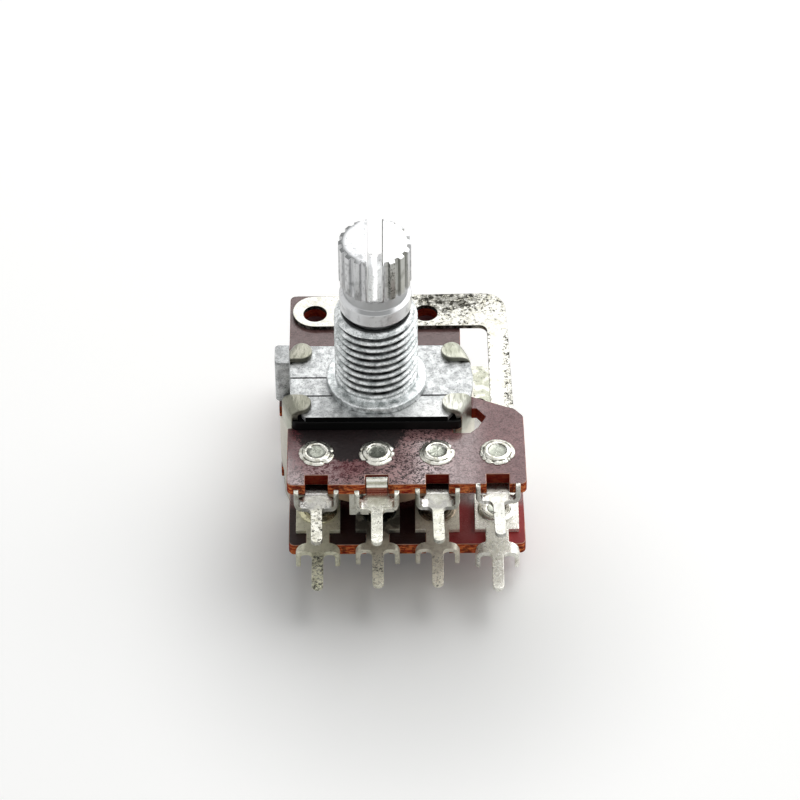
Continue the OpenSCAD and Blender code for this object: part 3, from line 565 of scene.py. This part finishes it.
def phenolic(name):
    f = Finish(name)
    across, along, height = f.axes()
    level = f.level()
    skin = level.eased(0.45, 0.8)
    curls = f.grain(f.place, 0.28, stretch=(1.3, 1, 1), detail=4.0, rough=0.75, warp=1.4)
    fibre = f.grain(f.place, 0.13, detail=3.0, rough=0.7)
    wrinkled = 0.25 + 0.75 * across.eased(-8.0, -5.0) * across.eased(7.5, 4.0) * along.eased(-3.0, -4.6)
    flecks = curls.eased(0.45, 0.54) * wrinkled + (0.3 + 0.4 * fibre.eased(0.36, 0.64)) * (1 - wrinkled)
    cloud = f.grain(f.place, 2.4, detail=3.0)
    layers = f.grain(f.place, 0.2, stretch=(5, 5, 1), detail=4.0, rough=0.75)
    scorch = f.grain(f.place, 0.6, detail=4.0, rough=0.7).eased(0.46, 0.62)
    notches = along.eased(-10.95, -10.7) * along.eased(-9.0, -9.4)
    slot = across.eased(7.4, 7.6) * across.eased(9.6, 9.4) * along.eased(-6.0, -5.5) * along.eased(-0.5, -1.0)
    left_hole, right_hole = (f.radius(x, y).eased(1.3, 1.1) for x, y in small_holes)
    hole_shade = left_hole | right_hole
    recess_shade = notches | slot | hole_shade
    # Painted sheen along with the grain: the lighter flecks are pale pink-grey, palest in the wrinkled front
    # zone.
    face = f.blend(flecks, srgb(18, 4, 7), f.blend(wrinkled, srgb(136, 64, 66), srgb(196, 152, 150)))
    face = f.blend(cloud.eased(0.35, 0.75) * 0.5, face, srgb(74, 16, 22))
    edge = f.blend(layers.eased(0.4, 0.6), srgb(170, 38, 10), srgb(252, 150, 86))
    edge = f.blend(scorch * 0.8, edge, srgb(84, 14, 6))
    # Painted shade: the walls of the notches, the ear slot and the small holes are made darker red.
    edge = f.blend(recess_shade * 0.85, edge, srgb(124, 14, 6))
    # Painted highlight: a pale line on the rounded edges at the wafer's front.
    edge_highlight = level.eased(0.12, 0.3) * level.eased(0.97, 0.85) * along.eased(-8.5, -9.2)
    ragged = f.vector("ADD", f.place, f.node("ShaderNodeTexNoise", {}, {
        "Vector": f.place, "Scale": 1.1, "Detail": 4.0}, output=1))

    def oval(x, y, wide, tall):
        """0 at x, y and 1 on the ragged outline of an oval round it."""
        apart = f.vector("SUBTRACT", ragged, (x, y, 0))
        return f.length(f.vector("MULTIPLY", apart, (1 / wide, 1 / tall, 0)))

    front = height.eased(-2.4, -2.1)
    # Painted shade: a front-left oval is made darker red and less glossy, where the sheen does not fall.
    matt = (oval(-3.3, -5.3, 4.1, 6.0).eased(1.15, 0.6) + (curls - 0.5) * 3.0).eased(0.1, 0.9) * front * 0.9
    # Painted shadow of the bushing: an oval below it on the front wafer is made nearly black and without gloss.
    bushing_shade = (oval(-1.7, -4.4, 4.5, 3.3).eased(1.2, 0.8) + (fibre - 0.5) * 2.6).eased(0.3, 0.6) * front
    rear = (1 - front) * along.eased(-5.5, -7.0)
    under = rear * across.eased(5.0, 4.0)
    face = f.blend(matt * 0.62, face, srgb(104, 20, 36))
    face = f.blend(bushing_shade * 0.96, face, srgb(13, 9, 10))
    # Painted shade: the rear wafer's face under the front one is made deep red and nearly without gloss.
    face = f.blend(rear * 0.85, face, srgb(146, 26, 28))
    # Painted shadow: left of X 4.5 mm that face is made nearly black.
    face = f.blend(under * 0.95, face, srgb(8, 2, 2))
    face = f.blend(along.eased(0.0, 3.0) * 0.6, face, srgb(66, 48, 42))
    # Painted shade: the small holes, with the punch flash in them, are made dark red and lose their gloss.
    face = f.blend(hole_shade, face, srgb(70, 6, 12))
    gloss = (0.04 + 0.96 * flecks) * (1 - 0.75 * matt) * (1 - 0.92 * bushing_shade) * (1 - 0.9 * rear) * (1 - hole_shade)
    dim = along.eased(-3.0, -1.0) * 0.58 | across.eased(7.5, 9.5) * 0.6
    f.set(Base_Color=f.blend(edge_highlight * 0.7, f.blend(skin, edge, face), srgb(232, 184, 160)),
          Roughness=0.85 - 0.4 * skin + 0.1 * fibre,
          Coat_Weight=skin * gloss * (1 - dim), Coat_Roughness=0.18, Coat_IOR=2.6, IOR=1.35)
    f.relief((curls * wrinkled + fibre * (1 - wrinkled) * 0.5) * skin + layers * (1 - skin), 0.08)
    return f.material


board_finish = phenolic("board_finish")
print("finish:", board_finish.name)

# %% [markdown]
# The rest is quick: moulded black plastic for spacers and rotors, carbon and silver ink on the wafers,
# spring metal for the wipers and blued steel for the ring. Most of it sits inside the can and is seen
# only through the gap at the front, but a reader who turns the part round finds it finished.

# %% Plastic, inks and springs
def moulded(name, colour, rough, lump):
    f = Finish(name, Specular_IOR_Level=0.15)
    skin = f.grain(f.place, lump, detail=4.0, rough=0.65)
    cloud = f.grain(f.place, 1.8, detail=2.0)
    f.set(Base_Color=f.blend(cloud.eased(0.3, 0.8) * 0.6, srgb(*colour), srgb(*(v + 8 for v in colour))),
          Roughness=rough + 0.2 * skin)
    f.relief(skin, 0.01)
    return f.material


def sheet_metal(name, colour, shade, rough):
    f = Finish(name, Metallic=1.0)
    cloud = f.grain(f.place, 0.9, detail=4.0)
    speck = f.grain(f.place, 0.12, detail=3.0, rough=0.7)
    f.set(Base_Color=f.blend(cloud.eased(0.4, 0.8), srgb(*colour), srgb(*shade)),
          Roughness=rough + 0.2 * speck)
    f.relief(speck, 0.008)
    return f.material


black_plastic = moulded("black_plastic", (4, 4, 4), 0.4, 0.25)
carbon_ink = moulded("carbon_ink", (26, 26, 27), 0.45, 0.08)
silver_ink = sheet_metal("silver_ink", (196, 194, 186), (150, 146, 134), 0.4)
spring_metal = sheet_metal("spring_metal", (206, 192, 158), (170, 152, 112), 0.25)
clip_steel = sheet_metal("clip_steel", (96, 94, 92), (66, 62, 60), 0.3)
print("finishes:", black_plastic.name, carbon_ink.name, silver_ink.name, spring_metal.name, clip_steel.name)

# %% [markdown]
# Most pieces keep their solid's own shape and gain what a punch, a press or a mould leaves: a small round
# on every edge. The helper copies the solid's mesh, joins its split corners, merges flat triangles into whole
# faces and lets a Bevel modifier round the edges by angle. Modelling each round in the solid would cost
# thousands of faces there. The piece then stands for its solid and rides on the same body.

# %% Dress a solid
sharp_degrees, same_place, flat_degrees = 32, 0.002, 0.6


def shown_for(node, piece, finish):
    """Puts a piece in its solid's place, on its solid's body."""
    piece.data.materials.clear()
    piece.data.materials.append(finish)
    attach(piece, frame["nodes"][node].parent.name.split(":")[1])
    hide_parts(node)
    return piece


def smooth_up_to(mesh, degrees):
    """Smooth faces, with a hard edge wherever two of them meet at more than this angle."""
    bm = bmesh.new()
    bm.from_mesh(mesh)
    for face in bm.faces:
        face.smooth = True
    for edge in bm.edges:
        edge.smooth = len(edge.link_faces) == 2 and edge.calc_face_angle(0) < math.radians(degrees)
    bm.to_mesh(mesh)
    bm.free()


def dress(node, finish, edge, rounds=3):
    mesh = frame["nodes"][node].data.copy()
    mesh.name = "dressed_" + node
    if "custom_normal" in mesh.attributes:
        mesh.attributes.remove(mesh.attributes["custom_normal"])
    bm = bmesh.new()
    bm.from_mesh(mesh)
    bmesh.ops.remove_doubles(bm, verts=bm.verts, dist=same_place * MM)
    bmesh.ops.dissolve_limit(bm, angle_limit=math.radians(flat_degrees), verts=bm.verts, edges=bm.edges)
    bm.to_mesh(mesh)
    bm.free()
    smooth_up_to(mesh, sharp_degrees)
    piece = bpy.data.objects.new("dressed_" + node, mesh)
    scene.collection.objects.link(piece)
    bevel = piece.modifiers.new("rounded edges", "BEVEL")
    bevel.width, bevel.segments = edge * MM, rounds
    bevel.limit_method, bevel.angle_limit = "ANGLE", math.radians(sharp_degrees)
    bevel.use_clamp_overlap, bevel.harden_normals = False, True
    return shown_for(node, piece, finish)


for node in ("front_wafer", "rear_wafer"):
    dress(node, board_finish, 0.08, rounds=2)
for node in ("front_spacer", "rear_spacer"):
    dress(node, black_plastic, 0.06, rounds=2)
for node in ("front_plate", "rear_plate"):
    dress(node, zinc_plate, 0.03, rounds=2)
dress("body_shell", can_metal, 0.1)
dress("shaft", shaft_metal, 0.05)

# %% [markdown]
# Eight terminals come from the same tools but not from the same bath, so each gets its own seed and stain.
# Each pale tone is also matched to the lug's brightness where it sits, so it holds painted light and shade
# besides the bath's tone. The front ones are bright and pitted, with painted shade and painted highlights
# on their cups. The rear ones hang in the shade of the front wafer: they are made paler and less metallic as
# painted light, and their heads are painted olive, brown or nearly black as painted shade. Their edges get
# only a slight round: the prongs' sides meet their bends at a shallow angle, and there a wide round would
# run out into a long thin spike.

# %% Terminals and straps
terminal_round = 0.04
# Painted shade: the zones below darken the cups of lugs 1 and 3, the front strap's pin, the head of rear lug 2
# and the rear strap's bar. Each pale tone and metal setting is matched to its lug's brightness, painted light
# and shade besides the bath's tone; the rear lugs are paler and less metallic to lift them in the shade.
cup_shade = (-13.0, -12.5, 1.0, (134, 133, 129))
tin_tones_and_shade = {
    "front_lug_1": dict(pale=(172, 171, 162), wear=0.6, pin=0.6, notch=0.95, painted_shade=cup_shade),
    "front_lug_2": dict(pale=(212, 211, 200), wear=0.35, pin=0.3, tongue=0.85),
    "front_lug_3": dict(pale=(166, 166, 156), wear=0.45, pin=0.3, notch=0.95, painted_shade=cup_shade),
    "front_strap": dict(pale=(186, 185, 178), wear=0.35, strap=1.0, pin=0.2, notch=0.6,
                        painted_shade=(-11.6, -12.4, 0.5, (140, 142, 140))),
    "rear_lug_1": dict(pale=(254, 252, 226), stain=(170, 170, 128), wear=0.3, rough=0.3, pin=0.85,
                       metal=0.25),
    "rear_lug_2": dict(pale=(250, 246, 226), stain=(134, 128, 104), wear=0.3, rough=0.3, pin=0.6, metal=0.35,
                       painted_shade=(-11.3, -10.2, 0.85, (36, 36, 32))),
    "rear_lug_3": dict(pale=(250, 244, 226), stain=(150, 134, 112), wear=0.3, rough=0.3, pin=0.5, metal=0.35),
    "rear_strap": dict(pale=(254, 253, 244), stain=(176, 172, 148), wear=0.3, strap=0.4, pin=0.4, metal=0.6,
                       painted_shade=(2.0, 5.0, 0.75, (132, 136, 112))),
}
for seed, (node, batch) in enumerate(tin_tones_and_shade.items(), start=1):
    gang, _, number = (node + "_4").split("_")[:3]
    low_corner, high_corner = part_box(gang + "_eyelet_" + number)
    finish = tinned("tin_" + node, seed, centre=(low_corner.x + high_corner.x) / 2 / MM, **batch)
    dress(node, finish, terminal_round)
print("tinned pieces:", len(tin_tones_and_shade))

# %% [markdown]
# The bushing's thread is a helix, and the solid has plain ring grooves of the same pitch instead. A Screw
# modifier could sweep a profile, but its start and end would be cut off. Here the whole piece is turned like
# on a lathe: at every angle a column of points goes once round the section, and the thread's depth at a
# point depends on its height less its angle's share of the pitch.

# %% Turn a piece on the lathe
def turned(name, section, steps, closed, hard=38, centre=(0, 0)):
    """A turned piece: section(angle) gives the points (radius, height) of its outline in mm."""
    bm = bmesh.new()
    columns = []
    for step in range(steps):
        angle = 2 * math.pi * step / steps
        columns.append([bm.verts.new(((centre[0] + r * math.cos(angle)) * MM,
                                      (centre[1] + r * math.sin(angle)) * MM, z * MM))
                        for r, z in section(angle)])
    count = len(columns[0])
    for step in range(steps):
        here, there = columns[step], columns[(step + 1) % steps]
        for low in range(count if closed else count - 1):
            high = (low + 1) % count
            bm.faces.new((here[low], there[low], there[high], here[high]))
    bmesh.ops.remove_doubles(bm, verts=bm.verts, dist=same_place / 10 * MM)
    bmesh.ops.recalc_face_normals(bm, faces=bm.faces)
    mesh = bpy.data.meshes.new(name)
    bm.to_mesh(mesh)
    bm.free()
    smooth_up_to(mesh, hard)
    piece = bpy.data.objects.new(name, mesh)
    scene.collection.objects.link(piece)
    return piece


def corner(centre, radius, start, end, steps=4):
    """Points of a small round between two angles in degrees."""
    angles = [math.radians(start + (end - start) * i / steps) for i in range(steps + 1)]
    return [(centre[0] + radius * math.cos(a), centre[1] + radius * math.sin(a)) for a in angles]


print("a quarter round has", len(corner((0, 0), 1, 0, 90)), "points")

# %% [markdown]
# The thread is M7 by 0.75: outer radius 3.5, valleys 0.46 deep, crests a little blunt from wear. It fades in
# above the collar, where the die stops, and the mouth's chamfer cuts its last turn. The collar has a small
# flat at the front, as in the photograph.

# %% Threaded bushing
low_corner, high_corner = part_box("threaded_bushing")
mouth_z, foot_z = high_corner.z / MM, low_corner.z / MM
plate_t = 0.55
collar_r, plate_z = high_corner.x / MM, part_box("front_plate")[0].z / MM + plate_t
crest_r, pitch, thread_depth, thread_rows = 3.5, 0.75, 0.46, 130
crest_width, flank_width, fade_start, fade_length = 0.1, 0.74, 0.12, 0.5
bore_r, spigot_r, mouth_chamfer, flat_y = 2.53, 3.3, 0.45, 4.1
collar_round, foot_round, relief_w, bore_chamfer = 0.12, 0.05, 0.2, 0.12


def thread_radius(angle, z):
    phase = (z / pitch - angle / (2 * math.pi)) % 1
    rise = abs(phase - 0.5) * 2
    rise = min(max((rise - crest_width) / flank_width, 0), 1)
    rise = rise * rise * (3 - 2 * rise) * 0.35 + rise * 0.65
    start = min(max((z - fade_start) / fade_length, 0), 1)
    worn = 0.02 * noise.noise(Vector((math.cos(angle) * 2.2, math.sin(angle) * 2.2, z * 1.3)))
    cone = crest_r - mouth_chamfer * min(max((z - mouth_z + mouth_chamfer) / mouth_chamfer, 0), 1)
    return min(crest_r - 0.01 - thread_depth * start * (1 - rise) - abs(worn), cone)


def bushing_section(angle):
    edge = collar_r
    if math.sin(angle) < 0 and edge * -math.sin(angle) > flat_y:
        edge = flat_y / -math.sin(angle)
    rows = [mouth_z * i / thread_rows for i in range(thread_rows + 1)]
    wall = [(thread_radius(angle, z), z) for z in rows]
    mouth = [(bore_r + bore_chamfer, mouth_z), (bore_r, mouth_z - bore_chamfer)]
    foot = [(bore_r, foot_z), (spigot_r, foot_z), (spigot_r, plate_z)]
    low_round = corner((edge - foot_round, plate_z + foot_round), foot_round, -90, 0, 2)
    high_round = corner((edge - collar_round, -collar_round), collar_round, 0, 90)
    return wall + mouth + foot + [(edge - relief_w, plate_z)] + low_round + high_round


bushing = turned("dressed_threaded_bushing", bushing_section, steps=224, closed=True, hard=50)
shown_for("threaded_bushing", bushing, zinc_thread)
print("bushing faces:", len(bushing.data.polygons))

# %% [markdown]
# An eyelet is a thin tube rolled over by a punch. Its skirt is never even: it splits in a few places, and
# the lips between the splits spread by different amounts. The centre is filled level with solder, grey and
# slightly sunk, with a bright crown round it. The rim is one more turned piece, whose outline changes with
# the angle: near a split both the skirt's reach and its height fall off.

# %% Eyelets
rim_r, barrel_r, flange_r = 1.5, 0.85, 1.6
rim_h, flange_h, tin_t, board_t, seat = 0.34, 0.22, 0.4, 1.15, 0.02
under = -board_t - tin_t
split_count = 5


def eyelet_section(seed):
    dice = random.Random(seed)
    splits = [(dice.uniform(0, 360), dice.uniform(3, 9), dice.uniform(0.35, 0.85))
              for _ in range(split_count)]

    def section(angle):
        turn = math.degrees(angle)
        gap = 0.0
        for place, width, force in splits:
            away = abs((turn - place + 180) % 360 - 180)
            gap = max(gap, force * math.exp(-(away / width) ** 2))
        ring = Vector((math.cos(angle), math.sin(angle), seed * 3.7))
        lip = 0.06 * noise.noise(ring * 1.7) + 0.06 * noise.noise(ring * 7.0)
        curl = 0.03 * noise.noise(ring * 4.0 + Vector((0, 0, 9)))
        reach = min(rim_r * (1 - 0.2 * gap) + lip, rim_r)
        crown = min(rim_h - 0.01 + 0.4 * lip, rim_h)
        dip = 0.19 + 0.02 * noise.noise(ring * 2.3)
        rim = [(0, dip), (0.4, dip), (0.64, dip + 0.01), (0.72, dip + 0.05), (0.78, crown - 0.05),
               (0.85, crown), (0.96, crown - 0.01), (1.06, crown - 0.06), (1.14, 0.22 - 0.08 * gap + curl),
               (1.22, 0.19 - 0.14 * gap - curl), (reach * 0.9, 0.16 - 0.12 * gap + curl),
               (reach * 0.97, 0.11 - 0.07 * gap), (reach, 0.06), (reach, seat)]
        back = [(barrel_r, seat), (barrel_r, under - seat), (flange_r - 0.03, under - seat),
                (flange_r, under - seat - 0.06), (flange_r - 0.12, under - flange_h * 0.9),
                (flange_r * 0.72, under - flange_h), (barrel_r * 0.8, under - flange_h),
                (barrel_r * 0.7, under - 0.08), (0, under - 0.06)]
        return rim + back

    return section


front_colour = (216, 215, 206)
# Painted shade: rear rivets 1 to 3 sit in the front wafer's shade and are painted olive, nearly black and
# brown; the fourth, lit, stays pale.
rear_shaded_colours = {1: (196, 192, 160), 2: (34, 36, 34), 3: (138, 126, 110), 4: (236, 235, 226)}
for gang, side in (("front", 1), ("rear", -1)):
    board_low, board_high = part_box(gang + "_wafer")
    face_z = (board_high.z if side > 0 else board_low.z) / MM
    for index in range(1, 5):
        node = gang + "_eyelet_" + str(index)
        low_corner, high_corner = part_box(node)
        middle = (low_corner + high_corner) / 2 / MM
        piece = turned("dressed_" + node, eyelet_section(index * 2 + side), steps=120, closed=False,
                       hard=60, centre=(middle.x, middle.y))
        for vertex in piece.data.vertices:
            vertex.co.z = face_z * MM + side * vertex.co.z
        if side < 0:
            piece.data.flip_normals()
        pale, seed = (front_colour, index) if side > 0 else (rear_shaded_colours[index], index + 20)
        finish = tinned("rivet_" + node, seed, pale=pale, wear=0.6, solder=(middle.x, middle.y))
        shown_for(node, piece, finish)

# %% [markdown]
# The pieces inside the can keep their solids and only take a finish: nobody sees their edges, and a wiper
# is thin enough to look right as it is.

# %% Inside pieces
inside = {
    "front_track": carbon_ink, "rear_track": carbon_ink,
    "front_collector": silver_ink, "rear_collector": silver_ink,
    "front_rotor": black_plastic, "rear_rotor": black_plastic,
    "front_wiper": spring_metal, "rear_wiper": spring_metal,
    "shield_disc": can_metal, "retaining_ring": clip_steel,
}
for node, finish in inside.items():
    solid = frame["nodes"][node]
    if not solid.material_slots:
        solid.data.materials.append(finish)
    for place in solid.material_slots:
        place.material = finish
print("solids with a finish only:", len(inside))

# %% [markdown]
# The punch that makes the wafers' two small holes leaves a rag of torn paper and resin at their far side,
# which is why no light comes through them in the photograph. A disc with a ragged opening could be cut
# from a plane; here it is turned, and its inner edge wanders by noise. It lies on the wafer it tore from.

# %% Punch flash in the small holes
flash_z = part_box("front_wafer")[0].z / MM
hole_r, collar_h = 1.0, 0.34
for number, (x, y) in enumerate(small_holes):
    def flash_section(angle):
        ring = Vector((math.cos(angle), math.sin(angle), number * 5.0))
        inner = 0.2 + 0.1 * noise.noise(ring * 1.6) + 0.04 * noise.noise(ring * 5.0)
        return [(hole_r, flash_z + seat), (hole_r, flash_z + collar_h), (hole_r * 0.8, flash_z + 0.2),
                (inner, flash_z + 0.12), (inner, flash_z + 0.04)]

    flash = turned("punch_flash_" + str(number + 1), flash_section, steps=72, closed=True, centre=(x, y))
    flash.data.materials.append(board_finish)
    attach(flash, "body")
print("flash rings:", len(small_holes))

# %% Measure the dressed part and finish
sizes["visual"] = plain_box()
print("grown by, in mm:", [[round((b - a) / MM, 3) for a, b in zip(*pair)]
                          for pair in zip(sizes["cad"], sizes["visual"])])
